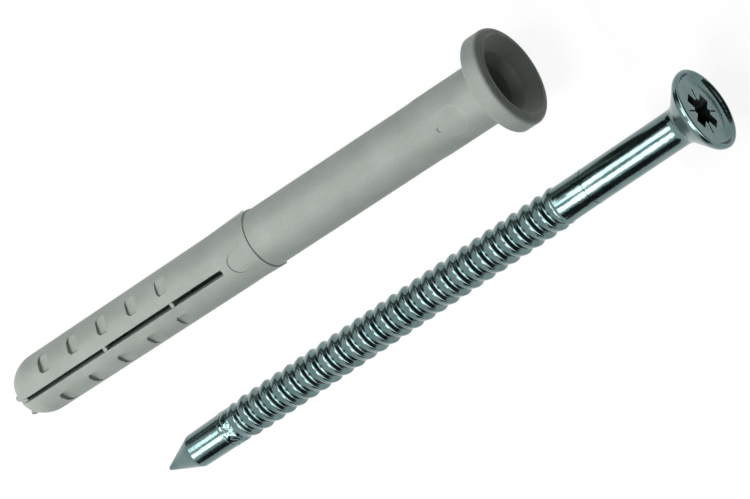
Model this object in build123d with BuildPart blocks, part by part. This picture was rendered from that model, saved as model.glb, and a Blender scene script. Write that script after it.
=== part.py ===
"""Nail plug: a moulded sleeve and the nail screw that spreads it, lying side by side. Millimetres, +Z up."""

import math
import os

from build123d import *

# Sleeve, measured along its own axis from the tip
sleeve_length = 80.0
leg_length = 40.5  # from the tip to the step, the part that spreads
step_slope = 0.1
leg_radius = 3.9  # just below the step
leg_tip_radius = 3.77  # where the tip starts to round
tip_face_radius = 2.6
tip_round = 4.7  # radius of the rounding at the tip

neck_radius = 3.74
neck_top_radius = 3.8
neck_top_length = 12.6  # the slightly thicker stretch, front face included
neck_ramp = 1.1

collar_radius = 6.25
collar_thickness = 2.6
collar_back_bevel = 0.15
collar_front_round = 0.6
lip_radius = 5.2
lip_width = 0.2
lip_height = 0.15

bore_radius = 2.6
funnel_depth = 2.2
funnel_throat_radius = 3.2
funnel_throat_bevel = 0.8
throat_depth = 7.5  # below the funnel the bore tapers to its full narrowness at this depth
bore_tip_radius = 1.5  # the bore narrows in the legs, so that the nail spreads them
bore_tip_wall = 3.0

# The slot between the two legs
slot_length = 35.3
slot_width = 0.78
slot_tip_width = 0.55
slot_corner = 0.3
slot_roll = 11.4  # degrees that the slot faces away from straight up
web_places = (15.2, 26.7)  # thin webs across the slot, from the tip
web_length = 0.5
web_inset = 0.25
web_thickness = 0.9
tip_web_place = 0.65
tip_web_length = 1.0
tip_web_reach = 2.7  # from the axis to each end of the web, nearly flush with the tip's rounding

# The gripping pockets, moulded in rows beside the slot
pocket_count = 5
pocket_first = 6.3  # from the tip to the middle of the first pocket
pocket_pitch = 5.07
pocket_length = 1.7
pocket_inner = 1.65  # from the slot's middle plane
pocket_outer = 3.35
pocket_corner = 0.3
pocket_depth = 0.6
pocket_depth_step = 0.08  # each pocket is this much shallower than the one before
pocket_lean = 36.0  # degrees that the floor leans outwards

# Moulding marks
pin_mark_radius = 1.5
pin_mark_below_step = 2.5
pin_mark_depth = 0.12
gate_mark_radius = 1.8
gate_mark_from_front = 8.0
gate_mark_depth = 0.03
gate_radius = 0.35
gate_from_front = 9.9
gate_depth = 0.15
flash_thickness = 0.15
flash_height = 0.25
flash_length = 7.0
tab_radius = 0.42
tab_thickness = 0.3
tab_places = ((-12.0, 0.2), (52.0, -0.05))  # degrees round from the pull, and how far inside the rim

# Nail, measured along its own axis from the point
nail_length = 87.1
shank_radius = 2.28
front_radius = 2.2  # where the point begins; the shank is full where the thread starts
point_round = 0.3
point_length = 4.9

thread_start = 11.4  # the rolled thread stands proud of the shank from here
thread_full = 14.2
thread_end = 65.4
thread_fade = 0.35
thread_radius = 2.46

head_radius = 5.08
head_land = 0.77  # from the cone's widest edge, before rounding, to the face
head_cone = 45.0  # degrees from the axis
head_neck_round = 2.2
head_under_round = 1.0
head_rim_bevel = 0.25
dish_radius = 4.65
dish_floor_radius = 3.95
dish_depth = 0.55

recess_depth = 2.6
recess_span = 5.0
recess_span_inside = 3.1
recess_wing = 1.4
recess_wing_inside = 0.95
recess_core = 2.5  # across the square middle
recess_core_inside = 1.7
recess_roll = 28.0  # degrees round from the side that faces up
tick_length = 1.1
tick_width = 0.22
tick_depth = 0.12
tick_start = 1.75

# Where the two lie
nail_beside = 17.17  # from the sleeve's axis to the nail's point
nail_ahead = 10.1  # the nail's point lies this much further along than the sleeve's tip
nail_turn = 1.43  # degrees that the nail's head points towards the sleeve

os.makedirs("parts", exist_ok=True)


def resting_plane(place_x, place_y, turn, roll, low_end, high_end):
    """The plane of a piece that lies on two roundings of its outline, each (along, off the axis, radius)."""
    along = high_end[0] - low_end[0]
    off = high_end[1] - low_end[1]
    swell = high_end[2] - low_end[2]
    lean = math.atan2(off, along) + math.asin(swell / math.hypot(off, along))
    height = low_end[1] * math.cos(lean) - low_end[0] * math.sin(lean) + low_end[2]
    yaw = math.radians(turn)
    flat = Vector(math.cos(yaw), math.sin(yaw), 0)
    side = Vector(math.sin(yaw), -math.cos(yaw), 0)
    axis = flat * math.cos(lean) + Vector(0, 0, math.sin(lean))
    upward = flat * -math.sin(lean) + Vector(0, 0, math.cos(lean))
    facing = upward * math.cos(math.radians(roll)) + side * math.sin(math.radians(roll))
    return Plane(origin=(place_x, place_y, height), x_dir=facing, z_dir=axis)


def leg_radius_at(place):
    """The outside radius of the legs at a distance from the tip."""
    share = (place - tip_round_length) / (leg_length - tip_round_length)
    return leg_tip_radius + (leg_radius - leg_tip_radius) * share


def sunk_disc(place, radius, surface, depth):
    """A round mark along the mould's pull whose floor follows the round surface."""
    with BuildPart() as disc:
        with BuildSketch(Plane.YZ):
            with Locations((0, place)):
                Circle(radius)
        extrude(amount=surface + depth)
        with Locations((0, 0, place)):
            Cylinder(surface - depth, 3 * radius, mode=Mode.SUBTRACT)
    return disc.part


def pocket_cutter(index):
    """One gripping pocket: straight sides along the mould's pull and a floor that leans outwards."""
    middle = pocket_first + index * pocket_pitch
    surface = math.sqrt(leg_radius_at(middle) ** 2 - pocket_inner**2)
    bottom = surface - (pocket_depth - index * pocket_depth_step)
    lean = math.radians(pocket_lean)
    floor = Plane(origin=(bottom, pocket_inner, middle), z_dir=(math.cos(lean), math.sin(lean), 0))
    with BuildPart() as cutter:
        with BuildSketch(Plane.YZ) as opening:
            with Locations(((pocket_inner + pocket_outer) / 2, middle)):
                Rectangle(pocket_outer - pocket_inner, pocket_length)
            chamfer(opening.vertices(), pocket_corner)
        extrude(amount=2 * leg_radius)
        split(bisect_by=floor, keep=Keep.TOP)
    return cutter.part


# Sleeve: a turned outline with collar, funnel and bore, then the slot, pockets and moulding marks.
# Local X is the mould's pull, square to the slot's middle plane turned up; Z runs from the tip.
tip_drop = leg_tip_radius - tip_face_radius
tip_round_length = math.sqrt(tip_round**2 - (tip_round - tip_drop) ** 2)
collar_back = sleeve_length - collar_thickness
annulus = sleeve_length - lip_height
ramp_top = sleeve_length - neck_top_length
funnel_radius = lip_radius - lip_width / 2
funnel_end = sleeve_length - funnel_depth
pin_mark_place = leg_length - pin_mark_below_step
gate_mark_place = sleeve_length - gate_mark_from_front
gate_place = sleeve_length - gate_from_front

with BuildPart() as pockets:
    for index in range(pocket_count):
        add(pocket_cutter(index))
    mirror(about=Plane.XZ)
    mirror(about=Plane.YZ)

with BuildPart() as marks:
    add(sunk_disc(gate_mark_place, gate_mark_radius, neck_top_radius, gate_mark_depth))
    add(sunk_disc(pin_mark_place, pin_mark_radius, leg_radius, pin_mark_depth))

with BuildPart() as sleeve:
    with BuildSketch(Plane.XZ) as sleeve_outline:
        with BuildLine():
            Line((0, 0), (tip_face_radius, 0))
            RadiusArc((tip_face_radius, 0), (leg_tip_radius, tip_round_length), -tip_round)
            Polyline(
                (leg_tip_radius, tip_round_length),
                (leg_radius, leg_length),
                (neck_radius, leg_length + step_slope),
                (neck_radius, ramp_top - neck_ramp),
                (neck_top_radius, ramp_top),
                (neck_top_radius, collar_back),
                (collar_radius, collar_back),
                (collar_radius, annulus),
                (lip_radius + lip_width / 2, annulus),
                (lip_radius, sleeve_length),
                (funnel_radius, sleeve_length),
                (funnel_throat_radius, funnel_end),
                (bore_radius, sleeve_length - throat_depth),
                (bore_radius, leg_length),
                (bore_tip_radius, tip_round_length + bore_tip_wall),
                (0, tip_round_length),
                (0, 0),
            )
        make_face()
        collar_edge = sleeve_outline.vertices().sort_by_distance((collar_radius, collar_back))[0]
        chamfer(collar_edge, collar_back_bevel)
        throat_edge = sleeve_outline.vertices().sort_by_distance((funnel_throat_radius, funnel_end))[0]
        chamfer(throat_edge, funnel_throat_bevel)
        front_edge = sleeve_outline.vertices().sort_by_distance((collar_radius, annulus))[0]
        fillet(front_edge, collar_front_round)
    revolve(axis=Axis.Z)

    # the slot parts the two legs and narrows towards the tip
    with BuildSketch(Plane.YZ) as slot_outline:
        with BuildLine():
            Polyline(
                (-slot_tip_width / 2, 0),
                (-slot_width / 2, slot_length),
                (slot_width / 2, slot_length),
                (slot_tip_width / 2, 0),
                close=True,
            )
        make_face()
        fillet(slot_outline.vertices().group_by(Axis.Y)[-1], slot_corner)
    extrude(amount=leg_radius, both=True, mode=Mode.SUBTRACT)
    for place in web_places:
        with Locations((0, 0, place)):
            Box(2 * (leg_radius_at(place) - web_inset), 1.5 * slot_width, web_length)
            Cylinder(leg_radius_at(place) - web_inset - web_thickness, web_length, mode=Mode.SUBTRACT)
    with Locations((0, 0, tip_web_place)):
        Box(2 * tip_web_reach, 1.5 * slot_tip_width, tip_web_length)

    add(pockets.part, mode=Mode.SUBTRACT)
    add(marks.part, mode=Mode.SUBTRACT)
    with BuildSketch(Plane.YZ.offset(neck_top_radius - gate_depth)):
        with Locations((0, gate_place)):
            Circle(gate_radius)
    extrude(amount=leg_radius, mode=Mode.SUBTRACT)

    # flash left by the mould: a fin on each side of the step and two tabs at the tip
    with BuildSketch(Plane.YZ):
        with BuildLine():
            Polyline(
                (-neck_radius, leg_length - flash_length),
                (-leg_radius_at(leg_length - flash_length), leg_length - flash_length),
                (-leg_radius - flash_height, leg_length),
                (-neck_radius, leg_length),
                close=True,
            )
        make_face()
        with BuildLine():
            Polyline(
                (neck_radius, leg_length - flash_length / 2),
                (leg_radius_at(leg_length - flash_length / 2), leg_length - flash_length / 2),
                (leg_radius + flash_height / 2, leg_length),
                (leg_radius + flash_height / 2, leg_length + flash_height),
                (neck_radius, leg_length + flash_height),
                close=True,
            )
        make_face()
    extrude(amount=flash_thickness / 2, both=True)
    for angle, inwards in tab_places:
        with Locations(Location((0, 0, 0), (0, 0, angle))):
            with Locations(Location((tip_face_radius - inwards, 0, 0), (0, 90, 0))):
                Cylinder(tab_radius, tab_thickness)

# Nail screw: a turned outline, as wide as the thread's crests where it is threaded, and the driving
# recess. Local Z runs from the point; local X is the side that faces up.
cone_base = nail_length - head_land
cone_top = cone_base - (head_radius - shank_radius) / math.tan(math.radians(head_cone))
under_middle = cone_base + head_under_round * math.tan(math.radians(head_cone / 2))
dish_floor = nail_length - dish_depth

point_reach = math.hypot(front_radius, point_length - point_round)
point_turn = math.atan2(point_length - point_round, front_radius)
tip_angle = point_turn - math.acos(point_round / point_reach)
tip_end = (point_round * math.cos(tip_angle), point_round * (1 + math.sin(tip_angle)))
half_angle = (tip_angle - math.pi / 2) / 2
tip_middle = (point_round * math.cos(half_angle), point_round * (1 + math.sin(half_angle)))

with BuildPart() as recess:
    for length, width, length_inside, width_inside in (
        (recess_span, recess_wing, recess_span_inside, recess_wing_inside),
        (recess_wing, recess_span, recess_wing_inside, recess_span_inside),
        (recess_core, recess_core, recess_core_inside, recess_core_inside),
    ):
        with BuildSketch(Plane.XY.offset(dish_floor)):
            Rectangle(length, width)
        with BuildSketch(Plane.XY.offset(dish_floor - recess_depth)):
            Rectangle(length_inside, width_inside)
        loft()

with BuildPart() as nail:
    with BuildSketch(Plane.YZ) as nail_outline:
        with BuildLine():
            ThreePointArc((0, 0), tip_middle, tip_end)
            Polyline(
                tip_end,
                (front_radius, point_length),
                (shank_radius, thread_start),
                (thread_radius, thread_full),
                (thread_radius, thread_end - thread_fade),
                (shank_radius, thread_end),
                (shank_radius, cone_top),
                (head_radius, cone_base),
                (head_radius, nail_length),
                (dish_radius, nail_length),
                (dish_floor_radius, dish_floor),
                (0, dish_floor),
                (0, 0),
            )
        make_face()
        for corner, size in (
            ((shank_radius, cone_top), head_neck_round),
            ((head_radius, cone_base), head_under_round),
        ):
            fillet(nail_outline.vertices().sort_by_distance(corner)[0], size)
        chamfer(nail_outline.vertices().sort_by_distance((head_radius, nail_length))[0], head_rim_bevel)
    revolve(axis=Axis.Z)

    # cross recess, tapering inwards, with four thin marks between its wings
    with Locations(Location((0, 0, 0), (0, 0, recess_roll))):
        add(recess.part, mode=Mode.SUBTRACT)
    with BuildSketch(Plane.XY.offset(dish_floor).rotated((0, 0, recess_roll + 45))):
        with PolarLocations(tick_start + tick_length / 2, 4):
            Rectangle(tick_length, tick_width)
    extrude(amount=-tick_depth, mode=Mode.SUBTRACT)

# Lay both down, side by side, each on its wide end and near its tip, and centre the pair
sleeve_plane = resting_plane(
    0,
    0,
    0,
    slot_roll,
    (tip_round_length, leg_tip_radius - tip_round, tip_round),
    (collar_back + collar_back_bevel, collar_radius, 0),
)
nail_plane = resting_plane(
    nail_ahead,
    -nail_beside,
    nail_turn,
    0,
    (point_length, front_radius, 0),
    (under_middle, head_radius - head_under_round, head_under_round),
)
sleeve.part.move(Location(sleeve_plane))
nail.part.move(Location(nail_plane))
spread = Compound([sleeve.part, nail.part]).bounding_box()
centring = Location((-spread.center().X, -spread.center().Y, 0))
sleeve.part.move(centring)
nail.part.move(centring)

sleeve.part.label = "plug_sleeve"
nail.part.label = "nail_screw"
export_step(sleeve.part, "parts/plug_sleeve.step")
export_step(nail.part, "parts/nail_screw.step")
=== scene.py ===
import bpy
import math
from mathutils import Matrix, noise


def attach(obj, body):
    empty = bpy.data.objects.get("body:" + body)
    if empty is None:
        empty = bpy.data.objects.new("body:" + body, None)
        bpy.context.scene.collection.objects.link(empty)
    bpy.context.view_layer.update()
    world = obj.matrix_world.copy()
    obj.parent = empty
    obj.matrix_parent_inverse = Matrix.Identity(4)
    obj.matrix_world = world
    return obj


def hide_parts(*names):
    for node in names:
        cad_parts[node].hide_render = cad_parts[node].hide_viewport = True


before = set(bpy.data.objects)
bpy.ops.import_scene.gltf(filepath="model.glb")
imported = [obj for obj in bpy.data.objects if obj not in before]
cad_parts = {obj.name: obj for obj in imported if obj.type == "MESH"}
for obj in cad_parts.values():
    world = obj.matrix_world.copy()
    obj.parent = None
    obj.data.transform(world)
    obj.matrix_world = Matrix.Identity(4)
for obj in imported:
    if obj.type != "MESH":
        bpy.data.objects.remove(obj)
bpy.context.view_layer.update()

# The eye stands a little over half a metre away, behind a long lens. It looks down at the pair
# from the collar's end, with the tips pointing away to the left.
camera_data = bpy.data.cameras.new("camera")
camera_data.lens = 199.2
camera_data.sensor_width = 36.0
camera_data.clip_start = 0.05
camera_data.clip_end = 20.0
camera = bpy.data.objects.new("camera", camera_data)
camera.location = (0.233086, -0.001312, 0.430554)
camera.rotation_euler = (math.radians(-16.287), math.radians(23.508), math.radians(-36.223))
bpy.context.scene.collection.objects.link(camera)
bpy.context.scene.camera = camera
bpy.context.scene.view_settings.view_transform = "Standard"

# Table: a plain pale sheet. The eye and the steel see it white with the soft shadow of the pair
# on it, and the light that it throws back is that of white paper.
bpy.ops.object.select_all(action="DESELECT")
bpy.ops.mesh.primitive_plane_add(size=8.0, location=(0.0, 0.0, 0.0))
table_top = bpy.context.object
table_top.name = "table_top"


def seen_directly(nodes, links):
    """One for rays from the eye and for rays off or through a shiny surface, otherwise none."""
    rays = nodes.new("ShaderNodeLightPath")
    either = nodes.new("ShaderNodeMath")
    either.operation = "MAXIMUM"
    any_of = nodes.new("ShaderNodeMath")
    any_of.operation = "MAXIMUM"
    links.new(rays.outputs["Is Camera Ray"], either.inputs[0])
    links.new(rays.outputs["Is Glossy Ray"], either.inputs[1])
    links.new(either.outputs[0], any_of.inputs[0])
    links.new(rays.outputs["Is Transmission Ray"], any_of.inputs[1])
    return any_of.outputs[0]


paper = bpy.data.materials.new("paper")
paper.use_nodes = True
nodes, links = paper.node_tree.nodes, paper.node_tree.links
nodes.clear()
output = nodes.new("ShaderNodeOutputMaterial")
sheet = nodes.new("ShaderNodeBsdfDiffuse")
sheet.inputs["Color"].default_value = (0.52, 0.52, 0.52, 1.0)
shown_sheet = nodes.new("ShaderNodeBsdfDiffuse")
shown_sheet.inputs["Color"].default_value = (0.16, 0.16, 0.16, 1.0)
white = nodes.new("ShaderNodeEmission")
white.inputs["Color"].default_value = (1.0, 1.0, 1.0, 1.0)
white.inputs["Strength"].default_value = 0.92
shown = nodes.new("ShaderNodeAddShader")
choice = nodes.new("ShaderNodeMixShader")
links.new(shown_sheet.outputs[0], shown.inputs[0])
links.new(white.outputs[0], shown.inputs[1])
links.new(seen_directly(nodes, links), choice.inputs["Fac"])
links.new(sheet.outputs[0], choice.inputs[1])
links.new(shown.outputs[0], choice.inputs[2])
links.new(choice.outputs[0], output.inputs["Surface"])
table_top.data.materials.append(paper)

# Two long soft boxes hang beyond the tips, one on each side, side by side with a gap between
# them. They light the pair and draw the two bright lines along the steel.
lamp_height = 0.46
for aside, power in ((0.2075, 1.28), (-0.157, 1.64)):
    lamp_data = bpy.data.lights.new("soft_box", "AREA")
    lamp_data.shape = "RECTANGLE"
    lamp_data.size = 0.34
    lamp_data.size_y = 0.2
    lamp_data.energy = power
    soft_box = bpy.data.objects.new("soft_box", lamp_data)
    soft_box.location = (-0.29, aside, lamp_height)
    soft_box.rotation_euler = (-math.atan2(aside, lamp_height), 0.0, 0.0)
    soft_box.visible_camera = False
    bpy.context.scene.collection.objects.link(soft_box)

# A wide reflector hangs overhead. It shows only in shiny surfaces, as the thin bright lines on
# the thread's crests and in the head's dish.
lamp_data = bpy.data.lights.new("overhead_reflector", "AREA")
lamp_data.shape = "RECTANGLE"
lamp_data.size = 0.3
lamp_data.size_y = 1.7
lamp_data.energy = 6.4
overhead = bpy.data.objects.new("overhead_reflector", lamp_data)
overhead.location = (0.1, 0.0, 0.6)
overhead.visible_camera = False
overhead.visible_diffuse = False
bpy.context.scene.collection.objects.link(overhead)

# Black cards. The first three only show in the steel: one stands low along each side and one past
# the heads. The other two only take light away: they keep the collar's open face in shade.
cards = [
    # middle, width and depth, tilt about X and Y, whether it shows in the steel
    ((-0.24, 0.5, 0.25), (0.5, 0.5), (90.0, 0.0), True),
    ((-0.24, -0.5, 0.25), (0.5, 0.5), (90.0, 0.0), True),
    ((0.27, 0.0, 0.16), (0.22, 0.9), (0.0, 90.0), True),
    ((0.2, 0.0, 0.25), (0.5, 1.2), (0.0, 90.0), False),
    ((0.14, 0.007, 0.0006), (0.2, 0.16), (0.0, 0.0), False),
]
for middle, (width, depth), (tilt_x, tilt_y), shows in cards:
    bpy.ops.object.select_all(action="DESELECT")
    bpy.ops.mesh.primitive_plane_add(size=1.0, location=middle)
    card = bpy.context.object
    card.name = "black_card"
    card.scale = (width, depth, 1.0)
    card.rotation_euler = (math.radians(tilt_x), math.radians(tilt_y), 0.0)
    bpy.ops.object.transform_apply(location=True, rotation=True, scale=True)
    black = bpy.data.materials.new("black_card")
    black.use_nodes = True
    shader = black.node_tree.nodes["Principled BSDF"]
    shader.inputs["Base Color"].default_value = (0.02, 0.02, 0.02, 1.0)
    shader.inputs["Roughness"].default_value = 1.0
    card.data.materials.append(black)
    card.visible_camera = False
    card.visible_glossy = shows
    card.visible_diffuse = not shows
    card.visible_shadow = False

# The room: faint light comes from all around, and the eye and the steel see a white backdrop
# behind the pair.
world = bpy.data.worlds.new("room")
bpy.context.scene.world = world
world.use_nodes = True
nodes, links = world.node_tree.nodes, world.node_tree.links
nodes.clear()
output = nodes.new("ShaderNodeOutputWorld")
room_light = nodes.new("ShaderNodeBackground")
room_light.inputs["Color"].default_value = (1.0, 1.0, 1.0, 1.0)
room_light.inputs["Strength"].default_value = 0.27
backdrop = nodes.new("ShaderNodeBackground")
backdrop.inputs["Color"].default_value = (1.0, 1.0, 1.0, 1.0)
backdrop.inputs["Strength"].default_value = 1.0
choice = nodes.new("ShaderNodeMixShader")
links.new(seen_directly(nodes, links), choice.inputs["Fac"])
links.new(room_light.outputs[0], choice.inputs[1])
links.new(backdrop.outputs[0], choice.inputs[2])
links.new(choice.outputs[0], output.inputs["Surface"])

# Plug sleeve: one hollow piece with two slotted legs, a round neck and a collar. It is injection
# moulded in grey nylon, left as it comes from the mould, with a faint satin grain and the faint
# pale ring of the gate near the collar.


def mottling(nodes, links, place, scale, detail):
    """A cloudy pattern on the piece's own coordinates."""
    clouds = nodes.new("ShaderNodeTexNoise")
    clouds.inputs["Scale"].default_value = scale
    clouds.inputs["Detail"].default_value = detail
    links.new(place.outputs["Object"], clouds.inputs["Vector"])
    return clouds


def two_tones(nodes, links, pattern, dark_at, dark, light_at, light):
    """Colours between a dark and a light tone, where a pattern is low and where it is high."""
    tones = nodes.new("ShaderNodeValToRGB")
    tones.color_ramp.elements[0].position = dark_at
    tones.color_ramp.elements[0].color = (*dark, 1.0)
    tones.color_ramp.elements[1].position = light_at
    tones.color_ramp.elements[1].color = (*light, 1.0)
    links.new(pattern, tones.inputs["Fac"])
    return tones.outputs["Color"]


nylon = bpy.data.materials.new("grey_nylon")
nylon.use_nodes = True
nodes, links = nylon.node_tree.nodes, nylon.node_tree.links
shader = nodes["Principled BSDF"]
shader.inputs["Roughness"].default_value = 0.48
shader.inputs["Specular IOR Level"].default_value = 0.3
place = nodes.new("ShaderNodeTexCoord")
mottle = mottling(nodes, links, place, 260.0, 6.0)
grain = mottling(nodes, links, place, 3200.0, 2.0)
speckle = nodes.new("ShaderNodeMath")
speckle.operation = "MULTIPLY_ADD"
speckle.inputs[1].default_value = 0.5
links.new(grain.outputs["Fac"], speckle.inputs[0])
links.new(mottle.outputs["Fac"], speckle.inputs[2])
greys = two_tones(nodes, links, speckle.outputs[0], 0.5, (0.355, 0.4, 0.36), 1.0, (0.44, 0.485, 0.442))
relief = nodes.new("ShaderNodeBump")
relief.inputs["Strength"].default_value = 0.18
relief.inputs["Distance"].default_value = 0.00004
links.new(grain.outputs["Fac"], relief.inputs["Height"])
links.new(relief.outputs["Normal"], shader.inputs["Normal"])

# the gate's ring: points at the ring's distance from the gate's axis, on the upper side only
gate_place = (0.02343, 0.00621, 0.00955)
gate_axis = (0.0326, 0.1977, -0.9797)
ring_radius, ring_half_width, ring_depth = 0.00182, 0.00011, 0.002
from_gate = nodes.new("ShaderNodeVectorMath")
from_gate.operation = "SUBTRACT"
from_gate.inputs[1].default_value = gate_place
off_axis = nodes.new("ShaderNodeVectorMath")
off_axis.operation = "CROSS_PRODUCT"
off_axis.inputs[1].default_value = gate_axis
gate_distance = nodes.new("ShaderNodeVectorMath")
gate_distance.operation = "LENGTH"
gate_depth = nodes.new("ShaderNodeVectorMath")
gate_depth.operation = "DOT_PRODUCT"
gate_depth.inputs[1].default_value = gate_axis
on_ring = nodes.new("ShaderNodeMath")
on_ring.operation = "COMPARE"
on_ring.inputs[1].default_value = ring_radius
on_ring.inputs[2].default_value = ring_half_width
on_top = nodes.new("ShaderNodeMath")
on_top.operation = "COMPARE"
on_top.inputs[1].default_value = 0.0
on_top.inputs[2].default_value = ring_depth
gate_ring = nodes.new("ShaderNodeMath")
gate_ring.operation = "MULTIPLY"
ring_share = nodes.new("ShaderNodeMath")
ring_share.operation = "MULTIPLY"
ring_share.inputs[1].default_value = 0.32
ring_tone = nodes.new("ShaderNodeMix")
ring_tone.data_type = "RGBA"
ring_tone.inputs["B"].default_value = (0.52, 0.565, 0.52, 1.0)
links.new(place.outputs["Object"], from_gate.inputs[0])
links.new(from_gate.outputs["Vector"], off_axis.inputs[0])
links.new(off_axis.outputs["Vector"], gate_distance.inputs[0])
links.new(from_gate.outputs["Vector"], gate_depth.inputs[0])
links.new(gate_distance.outputs["Value"], on_ring.inputs[0])
links.new(gate_depth.outputs["Value"], on_top.inputs[0])
links.new(on_ring.outputs[0], gate_ring.inputs[0])
links.new(on_top.outputs[0], gate_ring.inputs[1])
links.new(gate_ring.outputs[0], ring_share.inputs[0])
links.new(ring_share.outputs[0], ring_tone.inputs["Factor"])
links.new(greys, ring_tone.inputs["A"])
links.new(ring_tone.outputs["Result"], shader.inputs["Base Color"])
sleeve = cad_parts["plug_sleeve"]
sleeve.data.materials.clear()
sleeve.data.materials.append(nylon)

# Nail screw: one piece of drawn steel wire, bright zinc plated, with a cold-headed countersunk
# head, a forged point and a fine thread rolled into the shank. It is drawn out here ring by ring
# from the point, and then the thread is pressed into the rings.
mm = 0.001
around = 88
shank_radius = 2.28
rolled_from, thread_from, thread_to = 10.2, 11.4, 65.4
dish_floor = 86.4

# rings of the blunt tip, the point's cone and the shank's front: distance from the tip and radius
tip_radius = 0.3
rings = []
for slope in (-75.0, -60.0, -45.0, -33.0, -22.4):
    turn = math.radians(slope)
    rings.append((tip_radius + tip_radius * math.sin(turn), tip_radius * math.cos(turn)))
rings += [(1.2, 0.695), (2.4, 1.19), (3.7, 1.715), (4.7, 2.118), (4.9, 2.193), (5.15, 2.206)]
rings += [(8.0, 2.238), (rolled_from, 2.265)]

# rings of the plain shank, with a hairline groove near the head
hairline_radius = 2.2
rings += [(thread_to, shank_radius), (69.6, shank_radius), (69.63, hairline_radius)]
rings += [(69.77, hairline_radius), (69.8, shank_radius), (76.0, shank_radius), (82.5, shank_radius)]

# rings of the head: its rounded places, and then the dish in its face
bends = [
    # centre along the nail and out from its axis, radius, side, slope from and to, steps
    (82.62, 4.48, 2.2, -1.0, 0.0, 45.0, 6),
    (86.744, 4.08, 1.0, 1.0, -45.0, 0.0, 5),
    (86.8, 4.78, 0.3, 1.0, 0.0, 90.0, 5),
]
for centre_along, centre_out, bend, side, slope_from, slope_to, steps in bends:
    for step in range(steps + 1):
        turn = math.radians(slope_from + (slope_to - slope_from) * step / steps)
        rings.append((centre_along + bend * math.sin(turn), centre_out + side * bend * math.cos(turn)))
rings += [(87.1, 4.68), (87.03, 4.6), (86.8, 4.48), (86.6, 4.33), (86.46, 4.13), (86.41, 3.93)]
rings += [(dish_floor, 3.75), (dish_floor, 3.1)]

bpy.ops.object.select_all(action="DESELECT")
bpy.ops.mesh.primitive_circle_add(vertices=around, radius=rings[0][1] * mm, fill_type="NGON")
nail = bpy.context.object
nail.name = "threaded_nail"
nail.location = (0.0, 0.0, rings[0][0] * mm)
bpy.ops.object.transform_apply(location=True, rotation=False, scale=False)
bpy.ops.object.mode_set(mode="EDIT")
bpy.ops.mesh.select_all(action="SELECT")
bpy.ops.mesh.normals_make_consistent(inside=False)
bpy.context.scene.tool_settings.transform_pivot_point = "MEDIAN_POINT"
before = rings[0]
for along, radius in rings[1:]:
    move = (0.0, 0.0, (along - before[0]) * mm)
    bpy.ops.mesh.extrude_region_move(TRANSFORM_OT_translate={"value": move})
    factor = radius / before[1]
    bpy.ops.transform.resize(value=(factor, factor, 1.0), center_override=(0.0, 0.0, along * mm))
    before = (along, radius)

# the stretch that is rolled is divided finely
bpy.ops.mesh.select_all(action="DESELECT")
bpy.ops.object.mode_set(mode="OBJECT")
bpy.context.tool_settings.mesh_select_mode = (False, True, False)
for edge in nail.data.edges:
    ends = [nail.data.vertices[i].co.z / mm for i in edge.vertices]
    edge.select = abs(min(ends) - rolled_from) < 0.01 and abs(max(ends) - thread_to) < 0.01
bpy.ops.object.mode_set(mode="EDIT")
bpy.ops.mesh.subdivide_edgering(number_cuts=680, interpolation="LINEAR")
bpy.ops.mesh.select_all(action="SELECT")
bpy.ops.mesh.normals_make_consistent(inside=False)
bpy.ops.object.mode_set(mode="OBJECT")

# the groove between two crests: a long bulging flank towards the point, a short steep one behind
pitch = 1.928
first_root = 11.885
groove_depth = 0.47
steep_flank = 0.46


def groove_at(along):
    """How deep the rolled groove is at a distance past a root."""
    depth = 0.0
    for shift in (-0.1, -0.05, 0.0, 0.05, 0.1):
        past = (along + shift) % pitch
        if past < pitch - steep_flank:
            depth += (1.0 - past / (pitch - steep_flank)) ** 1.7
        else:
            depth += 1.0 - (pitch - past) / steep_flank
    return depth / 5.0 * groove_depth


def run_in(past, length):
    """Rises evenly from none to one over a length."""
    return min(1.0, max(0.0, past / length))


# rolling raises the crests and presses the grooves, and it leaves a dented patch at the front
crest_height = 0.22
dent_depth = 0.07
dented_to = 13.4
pressed_from = 11.6
front_taper = 0.0123
for vertex in nail.data.vertices:
    along = vertex.co.z / mm
    if rolled_from < along < thread_to:
        angle = math.atan2(vertex.co.y, vertex.co.x)
        taper = front_taper * max(0.0, thread_from - along)
        proud = run_in(along - thread_from, 2.8) * run_in(thread_to - along, 0.35)
        rough = min(run_in(along - rolled_from, 0.4), run_in(dented_to - along, 1.2))
        dents = noise.noise(vertex.co * 2600.0) + 0.5 * noise.noise(vertex.co * 5200.0)
        crest = shank_radius - taper + crest_height * proud + dent_depth * rough * dents
        pressed = run_in(along - pressed_from, 1.2) * run_in(thread_to - along, 0.6)
        past_root = along - first_root - pitch * angle / (2.0 * math.pi)
        radius = (crest - pressed * groove_at(past_root)) * mm
        now = math.hypot(vertex.co.x, vertex.co.y)
        vertex.co.x *= radius / now
        vertex.co.y *= radius / now

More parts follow.
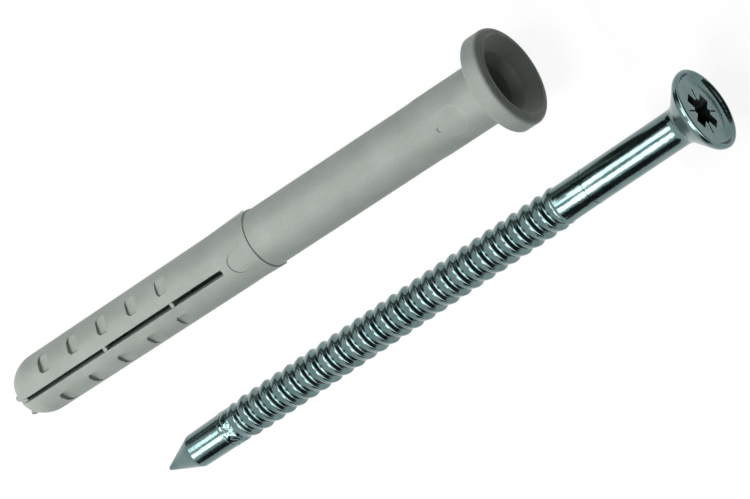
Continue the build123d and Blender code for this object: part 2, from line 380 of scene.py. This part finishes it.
# the dish's floor is closed, then the cross recess and the four fine ticks are struck into it
for vertex in nail.data.vertices:
    near_axis = math.hypot(vertex.co.x, vertex.co.y) / mm < 3.15
    vertex.select = near_axis and abs(vertex.co.z / mm - dish_floor) < 0.001
for polygon in nail.data.polygons:
    polygon.select = False
for edge in nail.data.edges:
    edge.select = all(nail.data.vertices[i].select for i in edge.vertices)
bpy.context.tool_settings.mesh_select_mode = (True, False, False)
bpy.ops.object.mode_set(mode="EDIT")
bpy.ops.mesh.edge_face_add()
bpy.ops.mesh.select_all(action="SELECT")
bpy.ops.mesh.normals_make_consistent(inside=False)
bpy.ops.object.mode_set(mode="OBJECT")
recess_roll = 28.0
above_dish, recess_floor = 86.55, 83.95
punches = [
    # at its top and at its bottom: both ends, half the width and the level; then its turn
    ((-2.5, 2.5, 0.7, above_dish), (-1.55, 1.55, 0.475, recess_floor), recess_roll),
    ((-0.7, 0.7, 2.5, above_dish), (-0.475, 0.475, 1.55, recess_floor), recess_roll),
    ((-1.25, 1.25, 1.25, above_dish), (-0.85, 0.85, 0.85, recess_floor), recess_roll),
]
for quarter in range(4):
    tick_roll = recess_roll + 45.0 + 90.0 * quarter
    punches.append(((1.75, 2.85, 0.11, 86.5), (1.75, 2.85, 0.11, 86.28), tick_roll))
for top, bottom, roll in punches:
    bpy.ops.object.select_all(action="DESELECT")
    bpy.ops.mesh.primitive_cube_add(size=1.0, location=(0.0, 0.0, 0.0))
    punch = bpy.context.object
    for corner in punch.data.vertices:
        end_from, end_to, half_width, level = top if corner.co.z > 0.0 else bottom
        corner.co.x = (end_to if corner.co.x > 0.0 else end_from) * mm
        corner.co.y = math.copysign(half_width, corner.co.y) * mm
        corner.co.z = level * mm
    punch.rotation_euler = (0.0, 0.0, math.radians(roll))
    bpy.ops.object.transform_apply(location=True, rotation=True, scale=True)
    bpy.ops.object.select_all(action="DESELECT")
    nail.select_set(True)
    bpy.context.view_layer.objects.active = nail
    cut = nail.modifiers.new("recess", "BOOLEAN")
    cut.operation = "DIFFERENCE"
    cut.solver = "EXACT"
    cut.object = punch
    bpy.ops.object.modifier_apply(modifier=cut.name)
    bpy.data.objects.remove(punch)
bpy.ops.object.shade_smooth_by_angle(angle=math.radians(30.0))

# the faces inside the recess take the second material, which paints shade into the recess
painted_shade_reach = 2.6
for polygon in nail.data.polygons:
    near_axis = math.hypot(polygon.center.x, polygon.center.y) < painted_shade_reach * mm
    if near_axis and recess_floor - 0.05 < polygon.center.z / mm < dish_floor - 0.01:
        polygon.material_index = 1

# laid on the table beside the sleeve, resting on the head's rim and the end of its point
nail.rotation_euler = (0.0, 0.0, math.radians(180.0))
bpy.ops.object.transform_apply(location=False, rotation=True, scale=False)
nail_lean, nail_turn = 2.0158, 1.43
nail.rotation_euler = (0.0, math.radians(90.0 - nail_lean), math.radians(nail_turn))
nail.location = (-38.3113 * mm, -10.2523 * mm, 2.0263 * mm)
bpy.ops.object.transform_apply(location=True, rotation=True, scale=True)

# bright zinc: cloudy in tone and gloss, drawn lines along the wire and fine pits
zinc = bpy.data.materials.new("zinc_plate")
zinc.use_nodes = True
nodes, links = zinc.node_tree.nodes, zinc.node_tree.links
shader = nodes["Principled BSDF"]
shader.inputs["Metallic"].default_value = 1.0
place = nodes.new("ShaderNodeTexCoord")
clouds = mottling(nodes, links, place, 420.0, 5.0)
cloudiness = clouds.outputs["Fac"]
zincs = two_tones(nodes, links, cloudiness, 0.3, (0.108, 0.172, 0.175), 0.7, (0.168, 0.236, 0.236))
links.new(zincs, shader.inputs["Base Color"])
dulling = nodes.new("ShaderNodeMapRange")
dulling.inputs["To Min"].default_value = 0.07
dulling.inputs["To Max"].default_value = 0.23
links.new(cloudiness, dulling.inputs["Value"])
links.new(dulling.outputs["Result"], shader.inputs["Roughness"])
along_wire = nodes.new("ShaderNodeMapping")
along_wire.inputs["Scale"].default_value = (60.0, 1900.0, 1900.0)
drawn = nodes.new("ShaderNodeTexNoise")
drawn.inputs["Scale"].default_value = 1.0
drawn.inputs["Detail"].default_value = 3.0
links.new(place.outputs["Object"], along_wire.inputs["Vector"])
links.new(along_wire.outputs["Vector"], drawn.inputs["Vector"])
pits = mottling(nodes, links, place, 1500.0, 4.0)
pits.inputs["Roughness"].default_value = 0.65
worn = nodes.new("ShaderNodeMath")
worn.operation = "ADD"
relief = nodes.new("ShaderNodeBump")
relief.inputs["Strength"].default_value = 1.0
relief.inputs["Distance"].default_value = 0.00002
links.new(drawn.outputs["Fac"], worn.inputs[0])
links.new(pits.outputs["Fac"], worn.inputs[1])
links.new(worn.outputs[0], relief.inputs["Height"])
links.new(relief.outputs["Normal"], shader.inputs["Normal"])
nail.data.materials.append(zinc)

# the recess: the same zinc, made dull, and coloured near black as painted shade for the shade deep
# inside the recess
recess_shade_zinc = bpy.data.materials.new("zinc_with_painted_recess_shade")
recess_shade_zinc.use_nodes = True
nodes, links = recess_shade_zinc.node_tree.nodes, recess_shade_zinc.node_tree.links
shader = nodes["Principled BSDF"]
shader.inputs["Metallic"].default_value = 1.0
shader.inputs["Roughness"].default_value = 0.5
place = nodes.new("ShaderNodeTexCoord")
recess_shade_mottle = mottling(nodes, links, place, 900.0, 4.0).outputs["Fac"]
# painted shade: near-black tones stand in for the shade inside the recess
painted_shade_tones = two_tones(nodes, links, recess_shade_mottle, 0.35, (0.012, 0.015, 0.016), 0.7, (0.05, 0.065, 0.068))
links.new(painted_shade_tones, shader.inputs["Base Color"])
nail.data.materials.append(recess_shade_zinc)
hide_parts("nail_screw")
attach(nail, "root")
